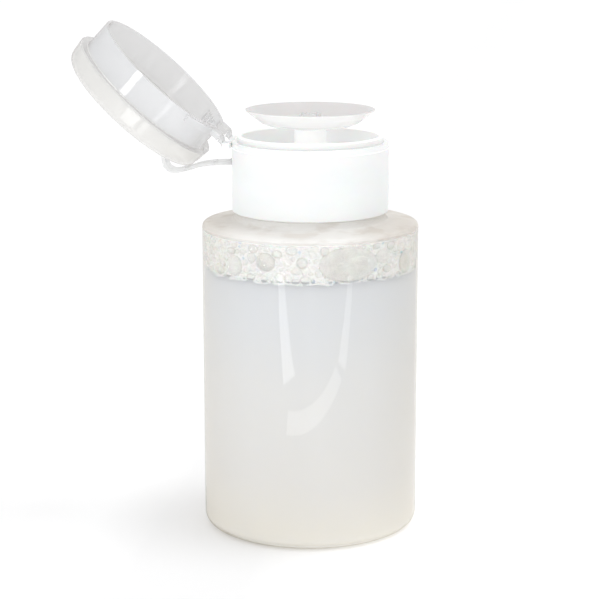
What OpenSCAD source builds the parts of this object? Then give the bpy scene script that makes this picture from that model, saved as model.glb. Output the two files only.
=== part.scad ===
// Push-down pump bottle with a snap-open lid.
// Millimetres, +Z up, origin at the centre of the standing face, lid hinge towards -X.

/* [Bottle] */
// Outside radius of the bottle body
body_r = 30; // [28:0.5:34]
// Height of the shoulder's outer edge
shoulder_z = 86.2; // [80:0.2:100]
// Thickness of the side wall
wall = 0.9; // [0.6:0.1:1.2]
// Radius of the corner between side and base
base_corner = 3.2; // [2.4:0.2:4]
// Height of the liquid
liquid_z = 74.3; // [66:0.5:76]
// Thickness of the foam on the liquid
foam_h = 10.2; // [2:0.2:10.2]

/* [Neck and collar] */
// Radius of the neck at the thread's root
neck_r = 15.2; // [14.8:0.1:15.2]
// Radius of the neck's bore
neck_bore_r = 13.4; // [13:0.1:13.6]
// Height that a thread climbs in one turn
thread_pitch = 2.1; // [1.8:0.1:2.4]
// Turns of thread on the neck and in the collar
thread_turns = 1.5; // [1:0.25:1.5]
// Outside radius of the collar
collar_r = 21.64; // [21.5:0.02:21.8]
// Outside radius of the rim around the collar's recess
rim_r = 20.15; // [20:0.05:20.15]

/* [Pump] */
// Radius of the dish at its rim
dish_r = 17.83; // [15:0.1:17.9]
// Depth of the dish from rim to underside
dish_h = 5.1; // [4.6:0.1:5.4]
// Distance that the dish presses down
stroke = 6.5; // [4:0.5:6.5]
// Outside radius of the stem
stem_r = 4.3; // [4.1:0.1:4.4]
// Radius of the pump cylinder's bore
cylinder_r = 6; // [5.8:0.1:6]
// Radius of the spring's wire
wire_r = 0.4; // [0.3:0.05:0.4]
// Turns of the spring
spring_turns = 5; // [4:1:6]
// Outside radius of the dip tube
tube_r = 2.4; // [2:0.1:2.4]

/* [Lid] */
// Angle between the open lid and the closed lid
lid_open = 137.15; // [0:0.05:137.15]
// Height of the lid from mouth to top
lid_h = 14.4; // [14:0.1:16]
// Outside radius of the lid's skirt
skirt_r = 21.1; // [21.1:0.05:21.3]
// Length of the skirt below the flange
skirt_h = 8; // [7:0.1:8]
// Outside radius of the flange
flange_r = 23.3; // [22.6:0.1:23.8]
// Thickness of the lid's walls
lid_wall = 0.75; // [0.6:0.05:0.75]
// Width of the strap
strap_w = 6; // [5:0.2:6.4]
// Thickness of the strap
strap_t = 1; // [0.8:0.1:1.2]

/* [Hidden] */
$fn = 96;
eps = 0.02;

// Height of the collar's outer wall, which leaves the dish its full travel
collar_h = 17.7;

// Heights of the neck and of what is clamped on it
collar_z = shoulder_z + 3.1;
neck_z = collar_z + 12;
gasket_h = 1;
flange_h = 1;
recess_under_z = neck_z + gasket_h + flange_h;
recess_z = recess_under_z + 1.5;
step_z = collar_z + collar_h;
rim_z = step_z + 3.15;
rim_in_r = rim_r - 1.25;
floor_hole_r = 8.2;
skirt_in_r = neck_r + 1.3;
skirt_out_r = skirt_in_r + 1.7;
shell_in_r = collar_r - 1.64;
thread_h = 1.1;
thread_z = neck_z - 6.9;

// Heights inside the pump
dish_z = rim_z + 7.05;
stem_top_z = dish_z - dish_h;
bush_top_z = recess_z + 0.6;
bush_bottom_z = recess_under_z - 7.3;
piston_top_z = bush_bottom_z - 0.2;
piston_h = 6;
core_r = 3.4;
stem_end_z = piston_top_z - piston_h - 1.4;
cage_z = stem_end_z - stroke - 5.3;
cage_h = 0.8;
housing_r = cylinder_r + 1.5;
socket_r = 3.7;
chamber_r = 2.7;
inlet_ball_r = 2.2;
inlet_seat_z = cage_z - 5.2;
inlet_hole_r = 1.3;
socket_z = inlet_seat_z - 3;
socket_end_z = socket_z - 7.5;
outlet_ball_r = 1.55;
outlet_bore_r = 1.9;
outlet_seat_z = stem_top_z - 4.8;
outlet_hole_r = 1.1;
spigot_r = 2.5;
spigot_z = stem_top_z + 2.1;
cap_r = 3.05;
ball_gap = 0.03;

// The lid, drawn closed and turned open about its hinge
mouth_z = step_z + 1.7;
lid_z = mouth_z + lid_h;
hinge_x = -(collar_r + 2.03);
hinge_z = step_z + 2.65;
slot_w = strap_w + 1.2;
web_y0 = slot_w / 2;
web_y1 = 8.4;
top_edge_r = 2.5;
slot_end_x = -13.1;

// The strap's bends with the lid open, as [x, z]
strap_p = [[-22.6, 102.65], [-30.3, 101.95], [-38.4, 100.15], [-39.75, 107]];

// The strap's anchor: a tongue through the collar's wall, and a wider head inside it
anchor_z = strap_p[0][1];
anchor_t = 1.2;
anchor_end_x = -collar_r - 0.4;
anchor_head_x = -19.4;

function arc(c, r, a0, a1, n = 8) =
    [for (i = [0:n]) c + r * [cos(a0 + (a1 - a0) * i / n), sin(a0 + (a1 - a0) * i / n)]];

// A ball's centre height when it rests on a 45 degree seat whose hole has radius hole_r at seat_z
function seated(ball_r, seat_z, hole_r) = seat_z - hole_r + sqrt(2) * (ball_r + ball_gap);

module ring(r0, r1, z0, z1) {
    rotate_extrude() translate([r0, z0]) square([r1 - r0, z1 - z0]);
}

// A helical ridge: trapezium section from r_root to r_tip, fading in and out over an eighth of a turn
module thread(r_root, r_tip, z0, start, half_w) {
    per_turn = 24;
    n = per_turn * thread_turns;
    fade = per_turn / 8;
    function height(i) = (r_tip - r_root) * min(1, (i + 0.3) / fade, (n - i + 0.3) / fade);
    function section(i) =
        let (a = start + i * 360 / per_turn, z = z0 + i * thread_pitch / per_turn, h = height(i))
        [for (p = [[0, -half_w], [h, -half_w * 0.45], [h, half_w * 0.45], [0, half_w]])
            [(r_root + p[0]) * cos(a), (r_root + p[0]) * sin(a), z + p[1]]];
    points = [for (i = [0:n]) each section(i)];
    inward = r_tip < r_root;
    sides = [for (i = [0:n - 1]) for (k = [0:3]) let (a = 4 * i + k, b = 4 * i + (k + 1) % 4)
        each [[a, b, b + 4], [a, b + 4, a + 4]]];
    ends = [[3, 2, 1, 0], [4 * n, 4 * n + 1, 4 * n + 2, 4 * n + 3]];
    faces = concat(sides, ends);
    polyhedron(points, inward ? [for (f = faces) [for (k = [len(f) - 1:-1:0]) f[k]]] : faces);
}

// A flat bar through a list of [x, z] points, with round ends and mitred bends
module bar(path, t, w) {
    last = len(path) - 1;
    function heading(i) = let (d = path[i + 1] - path[i]) atan2(d[1], d[0]);
    function across(i) = let (a = heading(max(0, i - 1)), b = heading(min(last - 1, i)))
        t / 2 / cos((b - a) / 2) * [-sin((a + b) / 2), cos((a + b) / 2)];
    left = [for (i = [1:last - 1]) path[i] + across(i)];
    right = [for (i = [last - 1:-1:1]) path[i] - across(i)];
    far_end = arc(path[last], t / 2, heading(last - 1) - 90, heading(last - 1) + 90);
    near_end = arc(path[0], t / 2, heading(0) + 90, heading(0) + 270);
    rotate([90, 0, 0]) translate([0, 0, -w / 2]) linear_extrude(w)
        polygon(concat(far_end, [for (i = [len(left) - 1:-1:0]) left[i]], near_end,
            [for (i = [len(right) - 1:-1:0]) right[i]]));
}

// ---------------------------------------------------------------- bottle

module bottle() {
    ribs = [for (i = [0:3]) each [[21.6 - 0.36 * i, shoulder_z + 0.95 + 0.5 * i],
        [21.35 - 0.36 * i, shoulder_z + 1.2 + 0.5 * i]]];
    outside = concat(
        [[0, 2.2], [19, 1.7], [23.4, 0.25], [24.2, 0]],
        arc([body_r - base_corner, base_corner], base_corner, -90, 0),
        arc([body_r - 1.2, shoulder_z - 1.2], 1.2, 0, 84, 5),
        [[22.1, shoulder_z + 0.75]],
        ribs,
        [[20, collar_z - 0.2], [neck_r, collar_z + 0.2], [neck_r, neck_z - 0.4], [neck_r - 0.4, neck_z]]);
    inside = [[neck_bore_r, neck_z], [neck_bore_r, collar_z - 0.6], [18.9, collar_z - 1.3],
        [20.6, shoulder_z], [28, shoulder_z - 0.9], [body_r - wall, shoulder_z - 2],
        [body_r - wall, base_corner + 3.4], [body_r - wall - 1, base_corner + 1], [25.4, 2.9],
        [20, 3.6], [0, 4.4]];
    color([0.93, 0.95, 0.95, 0.35]) union() {
        rotate_extrude() polygon(concat(outside, inside));
        thread(neck_r - 0.05, neck_r + thread_h, thread_z, 0, 0.45);
    }
}

module liquid() {
    gap = 0.1;
    r = body_r - wall - gap;
    color([0.88, 0.89, 0.89]) difference() {
        rotate_extrude() polygon([[0, 4.5], [20, 3.75], [25.3, 3.1], [r - 1.1, base_corner + 1.2],
            [r, base_corner + 3.6], [r, liquid_z], [0, liquid_z]]);
        translate([0, 0, 4]) cylinder(r = tube_r + 0.5, h = liquid_z);
        translate([0, 0, socket_end_z - 0.8]) cylinder(r = housing_r + 0.5, h = liquid_z);
    }
}

module foam() {
    r = body_r - wall - 0.15;
    color([0.95, 0.96, 0.96, 0.6]) rotate_extrude()
        polygon([[housing_r + 0.5, liquid_z + eps], [r, liquid_z + eps], [r, liquid_z + foam_h - 1.2],
            [r - 1.6, liquid_z + foam_h], [housing_r + 0.5, liquid_z + foam_h]]);
}

// ---------------------------------------------------------------- closure

module collar() {
    color([0.96, 0.96, 0.97]) difference() {
        union() {
            rotate_extrude() polygon(concat(
                [[floor_hole_r, recess_under_z], [floor_hole_r, recess_z]],
                [[rim_in_r - 0.7, recess_z], [rim_in_r, recess_z + 0.7]],
                [[rim_in_r, rim_z - 0.3], [rim_in_r + 0.3, rim_z]],
                [[rim_r - 0.3, rim_z], [rim_r, rim_z - 0.3], [rim_r, step_z]],
                arc([collar_r - 0.4, step_z - 0.4], 0.4, 90, 0, 4),
                arc([collar_r - 0.3, collar_z + 0.3], 0.3, 0, -90, 4),
                [[shell_in_r, collar_z], [shell_in_r, recess_under_z], [skirt_out_r, recess_under_z]],
                [[skirt_out_r, collar_z + 0.9], [skirt_in_r + 0.4, collar_z + 0.9]],
                [[skirt_in_r, collar_z + 1.3], [skirt_in_r, recess_under_z]]));
            thread(skirt_in_r + 0.05, skirt_in_r - thread_h, thread_z - thread_pitch / 2, 0, 0.35);
        }
        // Slot for the strap's anchor
        translate([-collar_r - 1, -strap_w / 2 - 0.3, anchor_z - anchor_t / 2 - 0.1])
            cube([collar_r + 1 + anchor_head_x, strap_w + 0.6, anchor_t + 0.2]);
    }
}

module neck_gasket() {
    color([0.85, 0.86, 0.88]) ring(neck_bore_r - 0.6, neck_r + 0.9, neck_z, neck_z + gasket_h);
}

module lid_ring() {
    ring_top_z = step_z + 1.5;
    color([0.90, 0.92, 0.95, 0.7]) union() {
        rotate_extrude() polygon([[rim_r + 0.05, step_z], [collar_r, step_z], [collar_r, ring_top_z - 0.3],
            [collar_r - 0.3, ring_top_z], [rim_r + 0.05, ring_top_z]]);
        for (s = [-1, 1]) translate([hinge_x + 0.47, min(s * web_y0, s * web_y1), step_z])
            cube([2, web_y1 - web_y0, ring_top_z - step_z]);
    }
}

// ---------------------------------------------------------------- lid

// Moves a closed lid to its open place
module opened() {
    translate([hinge_x, 0, hinge_z]) rotate([0, -lid_open, 0]) translate([-hinge_x, 0, -hinge_z]) children();
}

module lid() {
    flange_z = mouth_z + skirt_h;
    edge_c = [flange_r - 0.4 - top_edge_r, lid_z - top_edge_r];
    outside = concat([[skirt_r - lid_wall, mouth_z], [skirt_r, mouth_z], [skirt_r, flange_z - 0.2]],
        [[skirt_r + 0.2, flange_z], [flange_r - 0.2, flange_z], [flange_r, flange_z + 0.3]],
        arc(edge_c, top_edge_r, 0, 90), [[0, lid_z]]);
    inside = concat([[0, lid_z - 1.1]], arc(edge_c, top_edge_r - 1, 90, 0),
        [[flange_r - 1.1, flange_z + 0.9], [skirt_r - lid_wall + 0.3, flange_z + 0.9],
        [skirt_r - lid_wall, flange_z + 0.5]]);
    band_h = 2;
    color([0.90, 0.92, 0.95, 0.7]) opened() difference() {
        union() {
            rotate_extrude() polygon(concat(outside, inside));
            // Raised band around the hinge side of the mouth
            rotate([0, 0, 129]) rotate_extrude(angle = 102)
                translate([skirt_r - 0.1, mouth_z + 0.3]) square([0.85, band_h]);
            // Two tabs that carry the hinge webs
            for (s = [-1, 1]) translate([hinge_x + 0.47, min(s * web_y0, s * web_y1), mouth_z + 0.3])
                cube([2.8, web_y1 - web_y0, 1.6]);
            // Short ribs that stiffen the mouth beside the hinge
            for (s = [-1, 1], i = [0:3]) rotate([0, 0, 180 + s * (26 + 5 * i)])
                translate([skirt_r - lid_wall - 0.5, -0.25, mouth_z + 2]) cube([0.6, 0.5, 3.4]);
        }
        // Slot that the strap lies in when the lid is shut
        translate([-flange_r - 2, -slot_w / 2, mouth_z - 1]) cube([7, slot_w, lid_h + 2]);
        translate([-flange_r - 2, -slot_w / 2, flange_z + 1.5])
            cube([flange_r + 2 + slot_end_x, slot_w, lid_h]);
        // Keeps the tabs out of the mouth
        translate([0, 0, mouth_z - 1]) cylinder(r = skirt_r - lid_wall - 0.5, h = 5);
    }
}

// A thin curved web from the ring's tab up to the open lid's tab
module hinge_web(y0) {
    tab_x = hinge_x + 0.47;
    tab_top = [tab_x, step_z + 1.5];
    lid_edge = [hinge_x - 0.99, hinge_z - 0.38];
    lower = arc([tab_x - 2.3, step_z - 0.3], 2.3 / cos(19), 64, 19, 6);
    upper = [[hinge_x + 0.42, hinge_z + 0.1], [hinge_x + 0.1, hinge_z + 0.8]];
    color([0.90, 0.92, 0.95, 0.7]) translate([0, y0 + web_y1 - web_y0, 0]) rotate([90, 0, 0])
        linear_extrude(web_y1 - web_y0) polygon(concat([tab_top], upper, [lid_edge], lower));
}

module hinge_web_front() {
    hinge_web(-web_y1);
}

module hinge_web_back() {
    hinge_web(web_y0);
}

module strap_anchor() {
    head_w = strap_w + 2.4;
    head_t = 0.8;
    tongue_l = anchor_head_x - anchor_end_x + 0.1;
    color([0.90, 0.92, 0.95, 0.7]) union() {
        translate([anchor_end_x, -strap_w / 2, anchor_z - anchor_t / 2]) cube([tongue_l, strap_w, anchor_t]);
        translate([anchor_head_x, -head_w / 2, anchor_z - 1.4]) cube([head_t, head_w, 2]);
    }
}

module strap_link(path) {
    color([0.90, 0.92, 0.95, 0.7]) bar(path, strap_t, strap_w);
}

module strap_root() {
    strap_link([strap_p[0], strap_p[1] + [0.6, 0.05]]);
}

module strap_middle() {
    strap_link([strap_p[1] - [0.6, 0.1], [-34.5, 100.6], strap_p[2] + [0.6, 0]]);
}

module strap_tip() {
    strap_link([strap_p[2] - [0.5, -0.25], [-39.8, 101.6], [-40.2, 104.2], strap_p[3]]);
}

// ---------------------------------------------------------------- pump

module pump_housing() {
    color([0.93, 0.94, 0.95]) difference() {
        rotate_extrude() polygon([[cylinder_r, recess_under_z], [neck_r + 0.9, recess_under_z],
            [neck_r + 0.9, neck_z + gasket_h], [housing_r, neck_z + gasket_h], [housing_r, cage_z - 2],
            [socket_r, socket_z], [socket_r, socket_end_z], [tube_r + 0.02, socket_end_z],
            [tube_r + 0.02, socket_z - 0.5], [inlet_hole_r, socket_z], [inlet_hole_r, inlet_seat_z],
            [chamber_r, inlet_seat_z + chamber_r - inlet_hole_r], [chamber_r, cage_z], [cylinder_r, cage_z]]);
        // Vent that lets air into the bottle as the liquid leaves
        translate([0, 0, recess_under_z - 9]) rotate([0, 90, 0])
            cylinder(r = 0.6, h = housing_r + 1, $fn = 24);
    }
}

module guide_bush() {
    bore_r = stem_r + 0.08;
    boss_r = floor_hole_r - 0.3;
    color([0.96, 0.96, 0.97]) rotate_extrude() polygon([[bore_r, bush_bottom_z],
        [cylinder_r - 0.02, bush_bottom_z], [cylinder_r - 0.02, recess_under_z], [boss_r, recess_under_z],
        [boss_r, bush_top_z - 0.4], [boss_r - 0.4, bush_top_z], [bore_r, bush_top_z]]);
}

module piston_seal() {
    z0 = piston_top_z - piston_h;
    r = cylinder_r - 0.05;
    color([0.90, 0.91, 0.93]) rotate_extrude() polygon([[core_r + 0.02, z0], [r - 0.6, z0], [r, z0 + 0.4],
        [r, z0 + 1.4], [r - 0.9, z0 + 2.2], [r - 0.9, z0 + 3.8], [r, z0 + 4.6], [r, z0 + 5.6],
        [r - 0.5, piston_top_z], [core_r + 0.02, piston_top_z]]);
}

module stem() {
    foot_z = stem_end_z + 1.2;
    color([0.96, 0.96, 0.97]) rotate_extrude() polygon([[1.5, stem_end_z], [4.9, stem_end_z], [4.9, foot_z],
        [core_r, foot_z], [core_r, piston_top_z + 0.1], [stem_r, piston_top_z + 0.4], [stem_r, stem_top_z],
        [spigot_r, stem_top_z], [spigot_r, spigot_z], [outlet_bore_r, spigot_z],
        [outlet_bore_r, outlet_seat_z + outlet_bore_r - outlet_hole_r], [outlet_hole_r, outlet_seat_z],
        [outlet_hole_r, outlet_seat_z - 1.5], [1.5, outlet_seat_z - 2.5]]);
}

module dish() {
    z = dish_z;
    color([0.95, 0.95, 0.96]) rotate_extrude() polygon([[spigot_r + 0.02, z - dish_h], [stem_r, z - dish_h],
        [6.6, z - dish_h + 0.12], [10.2, z - 4.6], [11.3, z - 4.38], [13.5, z - 3.55], [15.7, z - 1.95],
        [dish_r - 0.1, z - 0.25], [dish_r, z], [dish_r - 0.25, z + 0.12], [dish_r - 0.7, z - 0.05],
        [15.1, z - 1.45], [12.9, z - 2.95], [11, z - 3.6], [6.6, z - 4.1], [spigot_r + 0.02, z - 4.2]]);
}

module outlet_cap() {
    z = dish_z - 4.1;
    plate_z = spigot_z + 0.1;
    color([0.95, 0.95, 0.96]) union() {
        difference() {
            union() {
                rotate_extrude() polygon([[spigot_r + 0.05, z], [cap_r, z], [cap_r, plate_z + 1.6],
                    [cap_r - 0.25, plate_z + 1.8], [cap_r - 0.6, plate_z + 1.7], [2, plate_z + 0.6],
                    [0, plate_z + 0.6], [0, plate_z], [spigot_r + 0.05, plate_z]]);
                translate([0, 0, plate_z + 0.5]) cylinder(r1 = 1, r2 = 0.25, h = 1.5);
            }
            for (a = [45:90:359]) rotate([0, 0, a]) translate([1.5, -0.45, plate_z - 0.2])
                cube([3, 0.9, 3]);
        }
        // Post that stops the outlet ball
        translate([0, 0, outlet_seat_z + 4.3]) cylinder(r = 0.7, h = plate_z - outlet_seat_z - 4.2);
    }
}

module outlet_ball() {
    color([0.75, 0.77, 0.80]) translate([0, 0, seated(outlet_ball_r, outlet_seat_z, outlet_hole_r)])
        sphere(outlet_ball_r);
}

module inlet_ball() {
    color([0.75, 0.77, 0.80]) translate([0, 0, seated(inlet_ball_r, inlet_seat_z, inlet_hole_r)])
        sphere(inlet_ball_r);
}

module ball_cage() {
    color([0.93, 0.94, 0.95]) difference() {
        translate([0, 0, cage_z + 0.01]) cylinder(r = cylinder_r - 0.05, h = cage_h);
        for (a = [0:90:359]) rotate([0, 0, a]) translate([2.1, 0, cage_z - 1]) cylinder(r = 0.7, h = 3);
    }
}

// Round wire on a helix between the ball cage and the stem's foot
module return_spring() {
    coil_r = 4.1;
    per_turn = 16;
    section = 8;
    z0 = cage_z + cage_h + wire_r + 0.03;
    z1 = stem_end_z - wire_r - 0.03;
    n = per_turn * spring_turns;
    points = [for (i = [0:n]) let (a = i * 360 / per_turn, z = z0 + (z1 - z0) * i / n)
        for (k = [0:section - 1]) let (b = k * 360 / section, r = coil_r + wire_r * cos(b))
            [r * cos(a), r * sin(a), z + wire_r * sin(b)]];
    sides = [for (i = [0:n - 1]) for (k = [0:section - 1])
        let (a = section * i + k, b = section * i + (k + 1) % section)
            each [[a, b, b + section], [a, b + section, a + section]]];
    ends = [[for (k = [section - 1:-1:0]) k], [for (k = [0:section - 1]) section * n + k]];
    color([0.7, 0.71, 0.73]) polyhedron(points, concat(sides, ends));
}

module dip_tube() {
    foot_z = 7.6;
    color([0.94, 0.95, 0.95, 0.8]) difference() {
        translate([0, 0, foot_z]) ring(tube_r - 0.7, tube_r, 0, socket_z - 0.6 - foot_z);
        // Slanted end, so that the tube can't seal against the floor
        translate([0, 0, foot_z - 3]) rotate([0, -35, 0]) cube([20, 20, 4], center = true);
    }
}

bottle();
liquid();
foam();
collar();
neck_gasket();
pump_housing();
guide_bush();
piston_seal();
stem();
dish();
outlet_cap();
outlet_ball();
return_spring();
ball_cage();
inlet_ball();
dip_tube();
lid_ring();
hinge_web_front();
hinge_web_back();
lid();
strap_anchor();
strap_root();
strap_middle();
strap_tip();
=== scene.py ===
"""Looks of the pump bottle: its materials, liquid, froth, strap, hinge webs and spring."""
import math
import random

import bmesh
import bpy
import numpy as np
from mathutils import Matrix, Vector, noise


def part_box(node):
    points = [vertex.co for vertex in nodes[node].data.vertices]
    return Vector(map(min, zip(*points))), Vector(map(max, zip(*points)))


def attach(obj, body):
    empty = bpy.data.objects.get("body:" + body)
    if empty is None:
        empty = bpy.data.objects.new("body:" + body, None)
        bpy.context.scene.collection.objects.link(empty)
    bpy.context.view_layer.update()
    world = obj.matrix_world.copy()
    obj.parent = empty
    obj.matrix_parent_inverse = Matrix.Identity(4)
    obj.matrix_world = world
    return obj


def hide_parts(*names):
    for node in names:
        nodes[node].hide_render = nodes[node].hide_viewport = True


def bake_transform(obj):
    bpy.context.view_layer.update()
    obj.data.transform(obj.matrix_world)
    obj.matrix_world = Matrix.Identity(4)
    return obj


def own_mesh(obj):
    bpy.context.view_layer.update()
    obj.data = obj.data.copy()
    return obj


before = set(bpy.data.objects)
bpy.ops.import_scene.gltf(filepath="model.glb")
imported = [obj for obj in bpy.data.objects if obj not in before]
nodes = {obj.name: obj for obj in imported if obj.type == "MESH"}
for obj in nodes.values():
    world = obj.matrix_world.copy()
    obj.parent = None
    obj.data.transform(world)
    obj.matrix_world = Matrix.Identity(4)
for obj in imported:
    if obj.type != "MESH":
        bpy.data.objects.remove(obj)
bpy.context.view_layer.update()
MM = 0.001


# ---------------------------------------------------------------- sizes taken from the frame, in millimetres

def low(node):
    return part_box(node)[0] / MM


def high(node):
    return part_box(node)[1] / MM


BODY_R = high("bottle").y
LIQUID_Z = high("liquid").z
# Seen through the wall the contents look almost as wide as the bottle, so both are drawn into the wall
LIQUID_WALL = BODY_R - 0.40
FOAM_R = BODY_R - 0.15
FOAM_TOP = high("foam").z
SHOULDER_Z = FOAM_TOP + 1.7
STEP_Z = low("lid_ring").z
# Radius of the passage for the pump cylinder in the liquid and the froth
PASSAGE_R = 8.0

# The lid's hinge; for the open lid, the way from its mouth to its top and a point of the mouth, in metres
HINGE = Vector((-23.67, 0, 109.65))
LID_AXIS = Vector((-0.680, 0, -0.733))
LID_MOUTH = HINGE * MM + LID_AXIS * (STEP_Z + 1.7 - HINGE.z) * MM

STRAP_W = high("strap_root").y - low("strap_root").y
# The strap's line with the lid open: its root in the collar, three bends and its end on the lid, as (x, z)
STRAP_LINE = [(-21.4, 102.3), (-22.6, 102.25), (-26.4, 102.05), (-30.3, 101.5), (-34.5, 100.3),
              (-38.2, 99.65), (-40.35, 101.1), (-40.85, 104.0), (-40.3, 107), (-39.9, 107.8)]


# ---------------------------------------------------------------- mesh helpers

def mesh_object(name, bm):
    bmesh.ops.recalc_face_normals(bm, faces=bm.faces)
    mesh = bpy.data.meshes.new(name)
    bm.to_mesh(mesh)
    bm.free()
    mesh.polygons.foreach_set("use_smooth", [True] * len(mesh.polygons))
    piece = bpy.data.objects.new(name, mesh)
    bpy.context.scene.collection.objects.link(piece)
    return piece


def polar(r, a, z):
    """A point in metres, from a radius and a height in millimetres and an azimuth in radians."""
    return r * math.cos(a) * MM, r * math.sin(a) * MM, z * MM


def bridge(bm, rings):
    """Joins each ring of vertices to the next with faces; all rings have the same count."""
    for a, b in zip(rings, rings[1:]):
        for k in range(len(a)):
            n = (k + 1) % len(a)
            bm.faces.new((a[k], a[n], b[n], b[k]))


def fillet(points, steps=5):
    """A closed outline of (r, z, radius) corners, with each corner of that radius rounded off."""
    outline = []
    for i, (r, z, radius) in enumerate(points):
        here = Vector((r, z))
        before = Vector(points[i - 1][:2]) - here
        after = Vector(points[(i + 1) % len(points)][:2]) - here
        if radius <= 0:
            outline.append(here)
            continue
        angle = before.angle(after)
        reach = min(radius / math.tan(angle / 2), 0.49 * before.length, 0.49 * after.length)
        start, end = here + before.normalized() * reach, here + after.normalized() * reach
        for k in range(steps + 1):
            t = k / steps
            outline.append(start * (1 - t) ** 2 + here * 2 * t * (1 - t) + end * t * t)
    return outline


def lathe(name, outline, segments=144):
    """Turns a closed outline of (r, z) in millimetres round the Z axis. Points on the axis become poles."""
    bm = bmesh.new()
    rings = []
    for r, z in outline:
        if r < 1e-6:
            rings.append([bm.verts.new((0, 0, z * MM))])
            continue
        rings.append([bm.verts.new(polar(r, 2 * math.pi * k / segments, z)) for k in range(segments)])
    for i, ring in enumerate(rings):
        other = rings[(i + 1) % len(rings)]
        if len(ring) == 1 and len(other) == 1:
            continue
        for k in range(segments):
            n = (k + 1) % segments
            corners = [ring[k % len(ring)], other[k % len(other)], other[n % len(other)], ring[n % len(ring)]]
            bm.faces.new(list(dict.fromkeys(corners)))
    return mesh_object(name, bm)


def smooth_line(points, per_span):
    """A Catmull-Rom curve through 2-D points, as (point, heading) pairs."""
    pts = [Vector(p) for p in points]
    pts = [pts[0] * 2 - pts[1], *pts, pts[-1] * 2 - pts[-2]]
    line = []
    for i in range(1, len(pts) - 2):
        a, b, c, d = pts[i - 1:i + 3]
        for k in range(per_span + (i == len(pts) - 3)):
            t = k / per_span
            line.append(0.5 * (2 * b + (c - a) * t + (2 * a - 5 * b + 4 * c - d) * t * t
                               + (3 * b - a - 3 * c + d) * t ** 3))
    last = len(line) - 1
    headings = [(line[min(i + 1, last)] - line[max(i - 1, 0)]).normalized() for i in range(last + 1)]
    return list(zip(line, headings))


def sweep_flat(name, line, section):
    """Sweeps a closed section of (across, y) along a line in the XZ plane."""
    bm = bmesh.new()
    rings = []
    for (x, z), d in line:
        across = Vector((-d[1], d[0]))
        rings.append([bm.verts.new(((x + across[0] * s) * MM, y * MM, (z + across[1] * s) * MM))
                      for s, y in section])
    bridge(bm, rings)
    bm.faces.new(rings[0])
    bm.faces.new(rings[-1])
    return mesh_object(name, bm)


# ---------------------------------------------------------------- material helpers

# Refractive index of polypropylene
PP_IOR = 1.49
WHITE = (1, 1, 1)


def new_material(name, **sockets):
    """A material with one Principled shader and its sockets set: returns it, its tree and the shader."""
    material = bpy.data.materials.new(name)
    material.use_nodes = True
    tree = material.node_tree
    shader = tree.nodes["Principled BSDF"]
    for socket, value in sockets.items():
        shader.inputs[socket.replace("_", " ")].default_value = value
    return material, tree, shader


def feed(tree, value, socket):
    """Links an output to the socket, or sets a number or an RGB colour on it."""
    if isinstance(value, bpy.types.NodeSocket):
        tree.links.new(value, socket)
    else:
        socket.default_value = (*value, 1) if isinstance(value, tuple) else value


def axis_of(tree, space, axis):
    """One coordinate of a surface point: "Object" is its place in metres, and "Normal" is its normal."""
    where = tree.nodes.new("ShaderNodeTexCoord")
    split = tree.nodes.new("ShaderNodeSeparateXYZ")
    tree.links.new(where.outputs[space], split.inputs[0])
    return split.outputs[axis]


def noise_of(tree, scale, detail, stretch=(1, 1, 1)):
    """Noise in object space, scale in cells a metre."""
    where = tree.nodes.new("ShaderNodeTexCoord")
    mapping = tree.nodes.new("ShaderNodeMapping")
    mapping.inputs["Scale"].default_value = stretch
    texture = tree.nodes.new("ShaderNodeTexNoise")
    texture.inputs["Scale"].default_value = scale
    texture.inputs["Detail"].default_value = detail
    tree.links.new(where.outputs["Object"], mapping.inputs["Vector"])
    tree.links.new(mapping.outputs["Vector"], texture.inputs["Vector"])
    return texture.outputs["Fac"]


def ramp_of(tree, source, *stops):
    """A colour ramp over source, with (position, colour) stops."""
    ramp = tree.nodes.new("ShaderNodeValToRGB")
    while len(ramp.color_ramp.elements) < len(stops):
        ramp.color_ramp.elements.new(0.5)
    for element, (position, colour) in zip(ramp.color_ramp.elements, stops):
        element.position = position
        element.color = (*colour, 1)
    tree.links.new(source, ramp.inputs[0])
    return ramp.outputs["Color"]


def shades_of(tree, source, dark, light):
    """A soft mottle of two shades over a noise."""
    return ramp_of(tree, source, (0.3, dark), (0.7, light))


def range_of(tree, source, low_to, high_to, low_from=0.3, high_from=0.7):
    """Maps source from one range to another, without going past its ends."""
    node = tree.nodes.new("ShaderNodeMapRange")
    node.inputs["From Min"].default_value = low_from
    node.inputs["From Max"].default_value = high_from
    node.inputs["To Min"].default_value = low_to
    node.inputs["To Max"].default_value = high_to
    tree.links.new(source, node.inputs["Value"])
    return node.outputs["Result"]


def math_of(tree, operation, *values):
    node = tree.nodes.new("ShaderNodeMath")
    node.operation = operation
    for value, socket in zip(values, node.inputs):
        feed(tree, value, socket)
    return node.outputs[0]


def mix_colours(tree, share, first, second, blend="MIX"):
    """A blend of two colours; each value is a number, a colour or an output."""
    mix = tree.nodes.new("ShaderNodeMix")
    mix.data_type, mix.blend_type = "RGBA", blend
    for value, place in ((share, 0), (first, 6), (second, 7)):
        feed(tree, value, mix.inputs[place])
    return mix.outputs[2]


def mix_of(tree, share, first, second):
    """A Mix Shader of two shader outputs; share is a number or a value output."""
    mix = tree.nodes.new("ShaderNodeMixShader")
    for value, socket in zip((share, first, second), mix.inputs):
        feed(tree, value, socket)
    return mix.outputs[0]


def bsdf_of(tree, kind, **sockets):
    """A simple shader, such as "Glossy", with its sockets set or linked."""
    node = tree.nodes.new("ShaderNodeBsdf" + kind)
    for socket, value in sockets.items():
        feed(tree, value, node.inputs[socket])
    return node.outputs[0]


def bump_of(tree, height, strength, distance):
    """A bumped normal."""
    bump = tree.nodes.new("ShaderNodeBump")
    bump.inputs["Strength"].default_value = strength
    bump.inputs["Distance"].default_value = distance
    tree.links.new(height, bump.inputs["Height"])
    return bump.outputs["Normal"]


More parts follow.
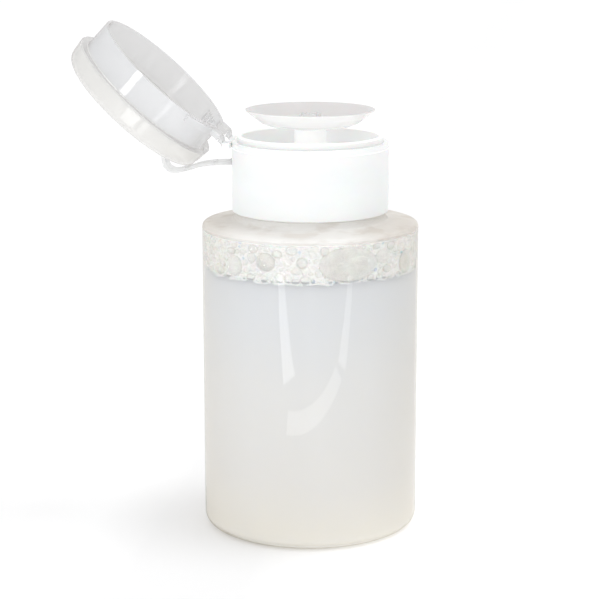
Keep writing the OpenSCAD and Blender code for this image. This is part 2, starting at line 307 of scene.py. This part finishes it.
def roughen(tree, shader, height, strength, distance):
    """Bumps the whole shader."""
    tree.links.new(bump_of(tree, height, strength, distance), shader.inputs["Normal"])


def facing_of(tree, blend, normal=None):
    """0 where a surface faces the eye, rising to 1 where it turns away."""
    facing = tree.nodes.new("ShaderNodeLayerWeight")
    facing.inputs["Blend"].default_value = blend
    if normal is not None:
        tree.links.new(normal, facing.inputs["Normal"])
    return facing.outputs["Facing"]


def gloss_share(tree, least, normal=None):
    """How much a clear or milky wall mirrors: little face on, nearly all edge on, alike from both sides."""
    steep = math_of(tree, "POWER", facing_of(tree, 0.5, normal), 5)
    return range_of(tree, steep, least, 0.9, 0, 1)


def surface(tree, shader_output):
    tree.links.new(shader_output, tree.nodes["Material Output"].inputs["Surface"])


# ---------------------------------------------------------------- camera, floor and light

WORLD_LIGHT = 0.97
# The floor's glow as (place, strength); places run from 0 to 1 between x = -FLOOR_REACH and FLOOR_REACH
FLOOR_REACH = 0.12
FLOOR_GLOW = [(0.0, 0.13), (0.25, 0.16), (0.33, 0.085), (0.46, 0.085), (0.67, 0.34), (0.83, 0.2), (1.0, 0.13)]


def look_from(azimuth, distance, height, pitch):
    """A camera on that azimuth round the axis, in degrees, looking down by pitch; the axis is off centre."""
    data = bpy.data.cameras.new("camera")
    data.sensor_width = 36
    data.lens = 117.05
    data.shift_x = -0.0171
    data.clip_start = 0.01
    data.clip_end = 30
    camera = bpy.data.objects.new("camera", data)
    bpy.context.scene.collection.objects.link(camera)
    a = math.radians(azimuth)
    camera.location = (distance * math.sin(a), -distance * math.cos(a), height)
    camera.rotation_euler = (math.radians(90 - pitch), 0, a)
    bpy.context.scene.camera = camera


def area_light(name, place, target, size, power):
    """A rectangular light that shines at target and that the camera doesn't see."""
    data = bpy.data.lights.new(name, "AREA")
    data.shape = "RECTANGLE"
    data.size, data.size_y = size
    data.energy = power
    light = bpy.data.objects.new(name, data)
    light.location = place
    light.rotation_euler = (Vector(target) - Vector(place)).to_track_quat("-Z", "Y").to_euler()
    light.visible_camera = False
    bpy.context.scene.collection.objects.link(light)
    return light


def floor_card(name, place, size, turn, power):
    """A bright card that lies on the floor in front, for the bottle to mirror; turn is about Z in degrees."""
    card = area_light(name, (*place, 0.001), (*place, 1), size, power)
    card.rotation_euler = (math.pi, 0, math.radians(turn))


def sun_light(direction, strength, softness):
    """A soft far light that shines from that direction."""
    data = bpy.data.lights.new("sun", "SUN")
    data.energy = strength
    data.angle = math.radians(softness)
    light = bpy.data.objects.new("sun", data)
    light.rotation_euler = (-Vector(direction)).to_track_quat("-Z", "Y").to_euler()
    bpy.context.scene.collection.objects.link(light)


def soft_world():
    """White light from all round, falling off to the left and more to the right."""
    world = bpy.data.worlds.new("studio")
    bpy.context.scene.world = world
    world.use_nodes = True
    tree = world.node_tree
    across = range_of(tree, axis_of(tree, "Generated", "X"), 0, 1, -1, 1)
    shade = ramp_of(tree, across, (0.0, (0.73, 0.735, 0.745)), (0.3, (0.93, 0.93, 0.935)), (0.5, WHITE),
                    (0.75, (0.88, 0.88, 0.875)), (1.0, (0.64, 0.635, 0.63)))
    tree.links.new(shade, tree.nodes["Background"].inputs["Color"])
    tree.nodes["Background"].inputs["Strength"].default_value = WORLD_LIGHT


def pale_floor():
    """A white floor that glows a little everywhere, and least where the bottle's shade falls."""
    bm = bmesh.new()
    bmesh.ops.create_grid(bm, x_segments=8, y_segments=8, size=8)
    floor = mesh_object("floor", bm)
    material, tree, shader = new_material("floor_white", Roughness=0.9, Base_Color=(0.9, 0.9, 0.905, 1),
                                          Specular_IOR_Level=0.0, Emission_Strength=1.0)
    across = range_of(tree, axis_of(tree, "Object", "X"), 0, 1, -FLOOR_REACH, FLOOR_REACH)
    glow = ramp_of(tree, across, *((place, (strength,) * 3) for place, strength in FLOOR_GLOW))
    tree.links.new(glow, shader.inputs["Emission Color"])
    floor.data.materials.append(material)


# ---------------------------------------------------------------- materials

def flow_marks(tree):
    """Faint streaks that plastic leaves as it fills its mould."""
    return noise_of(tree, 90, 4, (1, 1, 2.5))


def moulded_skin(tree, shader, strength=0.10):
    """The fine texture of a mould's surface."""
    roughen(tree, shader, noise_of(tree, 2600, 2), strength, 0.00004)


def moulded(name, light, dark, roughness, coat=0.0, glow=0.0):
    """Opaque moulded plastic: faint flow marks in its colour, a fine skin texture and uneven gloss.

    A little glow stands in for the light that thin white walls pass on to each other."""
    material, tree, shader = new_material(name, IOR=PP_IOR, Coat_Weight=coat, Coat_Roughness=0.12,
                                          Subsurface_Weight=0.15, Subsurface_Scale=0.004,
                                          Emission_Strength=glow)
    flow = flow_marks(tree)
    tree.links.new(shades_of(tree, flow, dark, light), shader.inputs["Base Color"])
    tree.links.new(range_of(tree, flow, roughness - 0.04, roughness + 0.05), shader.inputs["Roughness"])
    moulded_skin(tree, shader)
    return material


def collar_finish():
    """White polypropylene, satin on the outside; what faces up is painted brighter and given a painted glow
    of up to 0.16, as painted light.
    """
    painted_top_glow = 0.16
    material, tree, shader = new_material("white_pp", IOR=PP_IOR, Subsurface_Weight=0.2,
                                          Subsurface_Scale=0.004, Emission_Color=(*WHITE, 1))
    up = axis_of(tree, "Normal", "Z")
    flow = flow_marks(tree)
    # Painted light: faces that look up take the lighter shade, faces that look sideways the darker one.
    side = shades_of(tree, flow, (0.915, 0.915, 0.913), (0.935, 0.935, 0.933))
    flat = shades_of(tree, flow, (0.98, 0.98, 0.98), (0.99, 0.99, 0.99))
    # Painted glow on the faces that look up.
    tree.links.new(range_of(tree, up, 0, painted_top_glow, 0.2, 0.6), shader.inputs["Emission Strength"])
    colour = mix_colours(tree, range_of(tree, up, 0, 1, 0.2, 0.6), side, flat)
    tree.links.new(colour, shader.inputs["Base Color"])
    tree.links.new(range_of(tree, flow, 0.28, 0.37), shader.inputs["Roughness"])
    moulded_skin(tree, shader)
    return material


def dish_finish():
    """Glossy dish: the hollow that faces up is painted greyer than the underside as painted shade, and light
    comes through.
    """
    material, tree, shader = new_material("dish_pp", IOR=PP_IOR, Coat_Weight=0.3, Coat_Roughness=0.12,
                                          Subsurface_Weight=0.1, Subsurface_Scale=0.003)
    flow = flow_marks(tree)
    painted_shade_above = shades_of(tree, flow, (0.79, 0.78, 0.778), (0.82, 0.81, 0.808))
    below = shades_of(tree, flow, (0.955, 0.955, 0.95), (0.97, 0.97, 0.965))
    # Painted shade: faces that look up take the greyer colour.
    up = range_of(tree, axis_of(tree, "Normal", "Z"), 0, 1, 0.25, 0.6)
    tree.links.new(mix_colours(tree, up, below, painted_shade_above), shader.inputs["Base Color"])
    tree.links.new(range_of(tree, flow, 0.17, 0.25), shader.inputs["Roughness"])
    moulded_skin(tree, shader, 0.08)
    through = bsdf_of(tree, "Translucent", Color=below)
    surface(tree, mix_of(tree, 0.22, shader.outputs[0], through))
    return material


def froth_smudges_and_side_shade(tree):
    """A pale haze with brownish smudges where froth has wetted the wall, with painted shade that darkens it
    towards the bottle's sides.
    """
    smudge = ramp_of(tree, noise_of(tree, 130, 4, (1, 1, 3)), (0.36, (0.90, 0.875, 0.845)),
                     (0.48, (0.985, 0.98, 0.965)), (0.7, (0.995, 0.99, 0.98)))
    # Painted shade: darker with distance from the middle along X.
    aside = math_of(tree, "ABSOLUTE", axis_of(tree, "Object", "X"))
    share = range_of(tree, aside, 0, 1, 0.013, 0.026)
    return mix_colours(tree, share, smudge, (0.885, 0.86, 0.83), "MULTIPLY")


def clear_pet():
    """A clear wall: what is behind shows through, a little tinted and more so edge on, under a wavy gloss.

    The shoulder and neck are thicker and scatter light, with smudges, less gloss and a faint painted glow
    that stands in for light; the smudges are painted darker towards the sides as painted shade."""
    material, tree, shader = new_material("clear_pet", IOR=1.5, Roughness=0.25, Specular_IOR_Level=0.0,
                                          Emission_Strength=0.07)
    # smudge holds real smudges and painted shade at the sides, and it colours a painted glow of 0.07.
    smudge = froth_smudges_and_side_shade(tree)
    tree.links.new(smudge, shader.inputs["Base Color"])
    tree.links.new(smudge, shader.inputs["Emission Color"])
    haze = mix_of(tree, 0.3, shader.outputs[0], bsdf_of(tree, "Translucent", Color=smudge))
    tint = ramp_of(tree, facing_of(tree, 0.25), (0.1, (0.992, 0.99, 0.985)), (1.0, (0.89, 0.85, 0.77)))
    most_haze = 0.85
    thick = range_of(tree, axis_of(tree, "Object", "Z"), 0, most_haze,
                     (SHOULDER_Z - 2.2) * MM, (SHOULDER_Z - 0.8) * MM)
    wall = mix_of(tree, thick, bsdf_of(tree, "Transparent", Color=tint), haze)
    waves = bump_of(tree, noise_of(tree, 120, 2, (1, 1, 0.25)), 0.12, 0.0002)
    share = math_of(tree, "MULTIPLY", gloss_share(tree, 0.04, waves),
                    range_of(tree, thick, 1, 0.3, 0, most_haze))
    surface(tree, mix_of(tree, share, wall, bsdf_of(tree, "Glossy", Roughness=0.03, Normal=waves)))
    return material


def lid_dot(tree, first, second):
    """A dot product of two vectors, each an output or a vector."""
    dot = tree.nodes.new("ShaderNodeVectorMath")
    dot.operation = "DOT_PRODUCT"
    for value, socket in ((first, dot.inputs[0]), (second, dot.inputs[1])):
        if isinstance(value, Vector):
            socket.default_value = value
        else:
            tree.links.new(value, socket)
    return dot.outputs["Value"]


def along_lid(tree):
    """How far a point of the open lid is from its mouth along its axis, in metres, with the top at 0.0144."""
    where = tree.nodes.new("ShaderNodeTexCoord")
    return math_of(tree, "ADD", lid_dot(tree, where.outputs["Object"], LID_AXIS), -LID_MOUTH.dot(LID_AXIS))


def inside_lid(tree):
    """1 on the faces of the lid that look into it, and 0 on its outer ones."""
    where = tree.nodes.new("ShaderNodeTexCoord")
    relative = tree.nodes.new("ShaderNodeVectorMath")
    relative.operation = "SUBTRACT"
    tree.links.new(where.outputs["Object"], relative.inputs[0])
    relative.inputs[1].default_value = LID_MOUTH
    outward = lid_dot(tree, relative.outputs["Vector"], where.outputs["Normal"])
    return range_of(tree, outward, 1, 0, -0.002, 0.002)


def translucent_pp(name, tint, clear, band=None, hollow=None):
    """Natural polypropylene: milky, lets light and a little of the view through, under a glossy skin.

    On the lid, band is the colour of its flange and top, and hollow a painted shade for the faces inside it.
    Towards the outline, edge on, the colour is painted darker as painted shade."""
    material, tree, shader = new_material(name, IOR=PP_IOR, Roughness=0.3, Specular_IOR_Level=0.0)
    colour = shades_of(tree, noise_of(tree, 110, 4, (1, 1, 1.5)), tuple(c * 0.97 for c in tint), tint)
    if band:
        colour = mix_colours(tree, range_of(tree, along_lid(tree), 0, 1, 0.0072, 0.0088), colour, band)
    # Painted shade on the faces inside the lid.
    if hollow:
        colour = mix_colours(tree, inside_lid(tree), colour, hollow)
    # Painted shade: darker towards the outline, edge on; it also tints what shows through there.
    edge = ramp_of(tree, facing_of(tree, 0.5), (0.72, WHITE), (0.97, (0.80, 0.765, 0.745)))
    colour = mix_colours(tree, 1.0, colour, edge, "MULTIPLY")
    tree.links.new(colour, shader.inputs["Base Color"])
    milk = mix_of(tree, 0.45, shader.outputs[0], bsdf_of(tree, "Translucent", Color=colour))
    wall = mix_of(tree, clear, milk, bsdf_of(tree, "Transparent", Color=edge))
    skin = bump_of(tree, noise_of(tree, 1500, 2), 0.08, 0.00005)
    gloss = bsdf_of(tree, "Glossy", Roughness=0.07, Normal=skin)
    surface(tree, mix_of(tree, gloss_share(tree, 0.05), wall, gloss))
    return material


def milky_liquid():
    """Settled emulsion: cooler near the top and warmer towards the base, with slow clouds; it is also painted
    paler towards the base, as painted light.
    """
    material, tree, shader = new_material("milky_liquid", IOR=1.34, Roughness=0.3, Subsurface_Weight=0.6,
                                          Subsurface_Scale=0.008, Subsurface_Radius=(1.0, 0.95, 0.85),
                                          Specular_IOR_Level=0.1)
    height = range_of(tree, axis_of(tree, "Object", "Z"), 0, 1, 0.004, LIQUID_Z * MM)
    clouds = noise_of(tree, 45, 4, (1, 1, 0.6))
    shift = math_of(tree, "MULTIPLY_ADD", clouds, 0.25, height)
    # The ramp's paler base is painted light.
    colour = ramp_of(tree, shift, (0.1, (0.84, 0.82, 0.765)), (0.35, (0.79, 0.785, 0.77)),
                     (0.7, (0.775, 0.78, 0.78)), (1.0, (0.74, 0.76, 0.785)))
    tree.links.new(colour, shader.inputs["Base Color"])
    roughen(tree, shader, clouds, 0.05, 0.001)
    return material


def froth_white():
    """Packed micro-bubbles: bright walls, and glossy hollows where a larger bubble sits, painted greyer as
    painted shade.
    """
    material, tree, shader = new_material("froth_white", IOR=1.33, Subsurface_Weight=0.2,
                                          Subsurface_Scale=0.001, Coat_Weight=0.6, Coat_Roughness=0.08)
    where = tree.nodes.new("ShaderNodeTexCoord")
    cells = tree.nodes.new("ShaderNodeTexVoronoi")
    cells.feature = "DISTANCE_TO_EDGE"
    cells.inputs["Scale"].default_value = 1500
    tree.links.new(where.outputs["Object"], cells.inputs["Vector"])
    fine = ramp_of(tree, cells.outputs["Distance"], (0.0, (0.95, 0.95, 0.945)), (0.3, (0.89, 0.89, 0.885)),
                   (0.7, (0.86, 0.86, 0.855)))
    hollow = tree.nodes.new("ShaderNodeAttribute")
    hollow.attribute_name = "hollow"
    # Painted shade: the hollows take greyer colours.
    inside = ramp_of(tree, noise_of(tree, 420, 5), (0.35, (0.80, 0.80, 0.79)), (0.6, (0.90, 0.90, 0.895)))
    colour = mix_colours(tree, hollow.outputs["Fac"], fine, inside)
    sunk = range_of(tree, axis_of(tree, "Object", "Z"), 1, 0, (LIQUID_Z - 0.9) * MM, (LIQUID_Z + 0.9) * MM)
    tree.links.new(mix_colours(tree, sunk, colour, (0.76, 0.775, 0.79)), shader.inputs["Base Color"])
    tree.links.new(range_of(tree, hollow.outputs["Fac"], 0.45, 0.15, 0.0, 0.6), shader.inputs["Roughness"])
    roughen(tree, shader, cells.outputs["Distance"], 0.5, 0.0003)
    return material


def bubble_film(name, face, rim, glint, least=0.05):
    """A soap film: nearly nothing face on, darker and mirror-like towards its rim, with faint colours."""
    material, tree, shader = new_material(name)
    tree.nodes.remove(shader)
    facing = facing_of(tree, 0.35)
    clear = bsdf_of(tree, "Transparent", Color=ramp_of(tree, facing, (0.35, face), (0.95, rim)))
    gloss = bsdf_of(tree, "Glossy", Roughness=0.03, Color=ramp_of(tree, noise_of(tree, 420, 2), *glint))
    surface(tree, mix_of(tree, range_of(tree, facing, least, 0.6, 0.2, 1.0), clear, gloss))
    return material


def spring_steel():
    """Drawn wire, with streaks along the coil's axis."""
    material, tree, shader = new_material("spring_steel", Metallic=1.0)
    drawn = noise_of(tree, 800, 3, (1, 1, 6))
    colour = shades_of(tree, drawn, (0.60, 0.60, 0.62), (0.78, 0.78, 0.80))
    tree.links.new(colour, shader.inputs["Base Color"])
    tree.links.new(range_of(tree, drawn, 0.18, 0.34), shader.inputs["Roughness"])
    roughen(tree, shader, drawn, 0.15, 0.00003)
    return material


def ball_glass():
    """Slightly green glass with a ground surface."""
    material, tree, shader = new_material("ball_glass", IOR=1.52, Transmission_Weight=1.0, Roughness=0.02,
                                          Base_Color=(0.90, 0.95, 0.92, 1))
    roughen(tree, shader, noise_of(tree, 900, 2), 0.05, 0.00004)
    return material


def paint(piece, material):
    piece.data.materials.clear()
    piece.data.materials.append(material)


# ---------------------------------------------------------------- pieces

def cad_finishes():
    """Each CAD node that stays in view gets the finish of its real part."""
    white = collar_finish()
    pump_top = moulded("stem_pp", (0.99, 0.99, 0.99), (0.98, 0.98, 0.98), 0.32, glow=0.11)
    dish_white = dish_finish()
    ring_pp = moulded("ring_pp", (0.965, 0.965, 0.965), (0.945, 0.945, 0.945), 0.2, coat=0.2)
    pump_white = moulded("pump_pp", (0.86, 0.86, 0.85), (0.82, 0.82, 0.81), 0.4)
    seal = moulded("seal_pe", (0.80, 0.81, 0.83), (0.76, 0.77, 0.79), 0.45)
    tube = moulded("tube_pe", (0.84, 0.85, 0.85), (0.80, 0.81, 0.81), 0.3)
    # hollow is painted shade for the faces inside the lid.
    lid_pp = translucent_pp("lid_pp", (0.945, 0.955, 0.97), 0.45, band=(0.995, 0.99, 0.965),
                            hollow=(0.83, 0.825, 0.822))
    anchor_pp = translucent_pp("anchor_pp", (0.90, 0.905, 0.91), 0.1)
    pet = clear_pet()
    glass = ball_glass()
    finishes = {"bottle": pet, "collar": white, "guide_bush": pump_top, "stem": pump_top,
                "dish": dish_white, "outlet_cap": dish_white, "pump_housing": pump_white,
                "ball_cage": pump_white, "neck_gasket": seal, "piston_seal": seal, "dip_tube": tube,
                "lid": lid_pp, "lid_ring": ring_pp, "strap_anchor": anchor_pp,
                "outlet_ball": glass, "inlet_ball": glass}
    for name, material in finishes.items():
        paint(nodes[name], material)


def liquid_body():
    """The liquid, drawn a little way into the wall, with a meniscus and a passage for the pump."""
    r, z, floor_z = LIQUID_WALL, LIQUID_Z, 0.7
    tube_r, tube_z, housing_z = 2.9, 5.5, 60.1
    outline = fillet([(0, 2.9, 0), (20, 2.3, 4), (24.2, floor_z, 2.2), (r, floor_z, 4.6), (r, z + 0.5, 0.1),
                      (r - 0.5, z + 0.05, 0.6), (r - 4, z - 0.15, 2), (PASSAGE_R, z - 0.15, 0),
                      (PASSAGE_R, housing_z, 0), (tube_r, housing_z, 0), (tube_r, tube_z, 0), (0, tube_z, 0)])
    piece = lathe("liquid_body", outline)
    paint(piece, milky_liquid())
    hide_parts("liquid")
    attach(piece, "bottle")


def place_bubbles(rng):
    """Bubbles against the wall as (class, azimuth, height, half width, half height, depth), widest first.

    The first three are the photo's largest. Each class has a name, a count and its range of half widths."""
    z0, z1 = LIQUID_Z - 0.2, FOAM_TOP + 0.2
    placed = [("large", math.radians(-62), z0 + 5.0, 8.4, 4.7, 0.75),
              ("large", math.radians(-106), z0 + 5.6, 2.7, 2.5, 0.9),
              ("large", math.radians(-22), z0 + 3.6, 3.4, 3.2, 0.8)]
    classes = [("large", 18, 1.7, 2.9), ("medium", 170, 0.9, 1.6), ("small", 700, 0.4, 0.8),
               ("tiny", 900, 0.16, 0.3)]
    tries_each, closest = 12, 0.93
    for name, count, least, most in classes:
        for _ in range(count * tries_each):
            if sum(b[0] == name for b in placed) >= count:
                break
            wide = rng.uniform(least, most)
            tall = wide * rng.uniform(0.6, 1.05)
            a = rng.uniform(-math.pi, math.pi)
            z = rng.uniform(z0 + tall, z1 - tall)
            if name == "tiny" and rng.random() < 0.5:
                z = z0 + tall + abs(rng.gauss(0, 0.5))
            if all(math.hypot(math.remainder(a - b[1], 2 * math.pi) * FOAM_R / (wide + b[3]),
                              (z - b[2]) / (tall + b[4])) > closest for b in placed):
                placed.append((name, a, z, wide, tall, wide * rng.uniform(0.12, 0.34)))
    return placed


def froth_bed(bubbles):
    """The fine froth, with a hollow in it behind each larger bubble, a ragged lower edge and a lumpy top."""
    columns, rows, tops = 900, 66, 14
    r0, z0, z1 = LIQUID_WALL + 0.09, LIQUID_Z - 1.5, FOAM_TOP + 0.1
    azimuth = np.arange(columns) * 2 * math.pi / columns
    height = np.linspace(z0, z1, rows)
    a_grid, z_grid = np.meshgrid(azimuth, height)
    hollow = np.zeros_like(a_grid)
    for _, a, z, wide, tall, depth in bubbles:
        across = (np.mod(a_grid - a + math.pi, 2 * math.pi) - math.pi) * FOAM_R / wide
        inside = 1 - across ** 2 - ((z_grid - z) / tall) ** 2
        hollow = np.maximum(hollow, depth * np.clip(inside, 0, None) ** 0.4)
    bm = bmesh.new()
    layer = bm.verts.layers.float.new("hollow")
    rings = []
    for k in range(rows):
        ring = []
        for i in range(columns):
            where = Vector((math.cos(azimuth[i]), math.sin(azimuth[i]), 0)) * r0 + Vector((0, 0, height[k]))
            fine = 0.05 * noise.noise(where * 1.9) + 0.03 * noise.noise(where * 4.5)
            edge = LIQUID_Z - 0.3 + 0.9 * noise.noise(where * 0.45) - height[k]
            r = r0 - hollow[k, i] + fine - 0.16 * max(0.0, edge + 0.5)
            vert = bm.verts.new(polar(r, azimuth[i], height[k]))
            vert[layer] = min(1.0, hollow[k, i] / 0.5)
            ring.append(vert)
        rings.append(ring)
    for k in range(1, tops + 1):
        ring = []
        for i in range(columns):
            rim = r0 - hollow[-1, i]
            r = rim + (PASSAGE_R - rim) * k / tops
            where = Vector((r * math.cos(azimuth[i]), r * math.sin(azimuth[i]), z1))
            lump = 0.35 * noise.noise(where * 0.8) + 0.3 * noise.noise(where * 2.1)
            ring.append(bm.verts.new((where.x * MM, where.y * MM, (z1 + min(lump, 0.45)) * MM)))
        rings.append(ring)
    rings.append([bm.verts.new(polar(PASSAGE_R, a, z0)) for a in azimuth])
    bridge(bm, [*rings, rings[0]])
    piece = mesh_object("froth_bed", bm)
    paint(piece, froth_white())
    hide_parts("foam")
    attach(piece, "bottle")


def bubble_films(bubbles):
    """The films of the bubbles: one ellipsoid each, squeezed against the wall."""
    pale = ((0.35, (0.9, 0.95, 1.0)), (0.5, (1.0, 0.97, 0.93)), (0.65, (0.92, 1.0, 0.95)))
    vivid = ((0.35, (0.25, 0.95, 0.80)), (0.5, (0.75, 0.45, 1.0)), (0.65, (1.0, 0.80, 0.35)))
    film = bubble_film("bubble_film", (0.995, 0.995, 0.99), (0.90, 0.895, 0.88), pale)
    finishes = {"glint": bubble_film("bubble_glint", (0.9, 0.95, 0.98), (0.6, 0.8, 0.9), vivid),
                "tiny": bubble_film("bubble_bead", WHITE, (0.9, 0.9, 0.9), pale, least=0.55)}
    rng = random.Random(11)
    detail = {"large": 4, "medium": 2, "small": 1, "tiny": 1}
    meshes = {name: bmesh.new() for name in (*detail, "glint")}
    for name, a, z, wide, tall, depth in bubbles:
        group = "glint" if name in ("small", "tiny") and rng.random() < 0.05 else name
        made = bmesh.ops.create_icosphere(meshes[group], subdivisions=detail[name], radius=1)
        centre = Matrix.Translation(polar(LIQUID_WALL + 0.05, a, z))
        size = Matrix.Diagonal((depth * MM, wide * MM, tall * MM, 1))
        bmesh.ops.transform(meshes[group], verts=made["verts"],
                            matrix=centre @ Matrix.Rotation(a, 4, "Z") @ size)
        for v in made["verts"]:
            r = math.hypot(v.co.x, v.co.y) / MM
            if r > FOAM_R:
                v.co.x *= FOAM_R / r
                v.co.y *= FOAM_R / r
    for group, bm in meshes.items():
        piece = mesh_object(f"bubbles_{group}", bm)
        paint(piece, finishes.get(group, film))
        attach(piece, "bottle")


def strap_section():
    """A rounded bead along each edge, stepped down to a thinner web, on opposite faces at the two edges."""
    bead, web, half, steps = 0.5, 0.3, STRAP_W / 2, 8
    side = [(bead * math.sin(a), half - bead + bead * math.cos(a))
            for a in (math.pi / 2 - math.pi * k / steps for k in range(steps + 1))]
    side += [(-bead, half - 0.9), (-web, half - 1.25)]
    return side + [(-s, -y) for s, y in side]


def strap():
    """The snap strap, swept along its line in three pieces that stand in for strap_root, strap_middle and
    strap_tip.
    """
    per_span = 9
    line = smooth_line(STRAP_LINE, per_span)
    section = strap_section()
    cuts = [0, 2 * per_span, 4 * per_span, len(line) - 1]
    bends = [("closure", "strap_root"), ("strap_root", "strap_middle"), ("strap_middle", "strap_tip")]
    material = translucent_pp("strap_pp", (0.95, 0.955, 0.955), 0.2)
    for i, (a, b) in enumerate(bends):
        piece = sweep_flat(f"strap_bend_{i + 1}", line[cuts[i]:cuts[i + 1] + 1], section)
        paint(piece, material)
        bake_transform(piece)
        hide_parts(("strap_root", "strap_middle", "strap_tip")[i])


def hinge_web(side):
    """A thin web that curves from the ring's tab up to the lid, with its edges rounded."""
    node = f"hinge_web_{side}"
    y0, y1, rounding = low(node).y, high(node).y, 0.12
    tab_x, tab_z = HINGE.x + 0.47, STEP_Z
    curve, first, last, steps = 2.3, 64, 19, 12
    r = curve / math.cos(math.radians(last))
    angles = [math.radians(first + (last - first) * k / steps) for k in range(steps + 1)]
    lower = [Vector((tab_x - curve + r * math.cos(a), tab_z - 0.3 + r * math.sin(a))) for a in angles]
    upper = [p[0] for p in smooth_line([(HINGE.x + 0.02, HINGE.z + 0.72), (HINGE.x + 0.42, HINGE.z + 0.1),
                                        (tab_x - 0.02, tab_z + 1.5)], steps // 2)]
    bm = bmesh.new()
    rings = []
    for y, inset in ((y0, rounding), (y0 + rounding, 0), (y1 - rounding, 0), (y1, rounding)):
        pairs = [(a + (b - a).normalized() * inset, b - (b - a).normalized() * inset)
                 for a, b in zip(lower, upper)]
        loop = [p[0] for p in pairs] + [p[1] for p in reversed(pairs)]
        rings.append([bm.verts.new((p[0] * MM, y * MM, p[1] * MM)) for p in loop])
    bridge(bm, rings)
    count = len(rings[0])
    for ring in (rings[0], rings[-1]):
        for k in range(count // 2 - 1):
            bm.faces.new((ring[k], ring[k + 1], ring[count - 2 - k], ring[count - 1 - k]))
    piece = mesh_object(f"web_{side}", bm)
    paint(piece, translucent_pp(f"web_pp_{side}", (0.95, 0.955, 0.96), 0.2))
    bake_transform(piece)
    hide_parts(node)


def spring_coil():
    """Round wire on a helix whose turns lie closer together towards both ends."""
    z0, z1 = low("return_spring").z, high("return_spring").z
    wire, coil, turns, per_turn, section = 0.4, 4.1, 5.5, 40, 12
    count = int(turns * per_turn)
    bm = bmesh.new()
    rings = []
    for i in range(count + 1):
        t = i / count
        rise = t - math.sin(2 * math.pi * t) / (2 * math.pi) * 0.5
        a = 2 * math.pi * turns * t
        z = z0 + wire + (z1 - z0 - 2 * wire) * rise
        rings.append([bm.verts.new(polar(coil + wire * math.cos(b), a, z + wire * math.sin(b)))
                      for b in (2 * math.pi * k / section for k in range(section))])
    bridge(bm, rings)
    bm.faces.new(rings[0])
    bm.faces.new(rings[-1])
    piece = mesh_object("spring_coil", bm)
    paint(piece, spring_steel())
    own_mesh(piece)
    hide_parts("return_spring")
    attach(piece, "pump")


look_from(azimuth=7.7, distance=0.5344, height=0.1785, pitch=12.13)
soft_world()
pale_floor()
sun_light((0.30, 0.04, 1.0), strength=0.50, softness=24)
area_light("window", place=(-0.44, -0.84, 0.21), target=(0, 0, 0.11), size=(0.13, 0.20), power=0.7)
floor_card("card_left", place=(-0.100, -0.290), size=(0.045, 0.20), turn=-32, power=0.075)
floor_card("card_right", place=(0.220, -0.220), size=(0.035, 0.17), turn=62, power=0.036)
floor_card("card_front", place=(0.045, -0.165), size=(0.030, 0.17), turn=80, power=0.026)
cad_finishes()
liquid_body()
raft = place_bubbles(random.Random(7))
froth_bed(raft)
bubble_films(raft)
strap()
hinge_web("front")
hinge_web("back")
spring_coil()
bpy.context.scene.view_settings.view_transform = "Standard"
bpy.context.scene.cycles.transparent_max_bounces = 48
bpy.context.scene.cycles.diffuse_bounces = 12
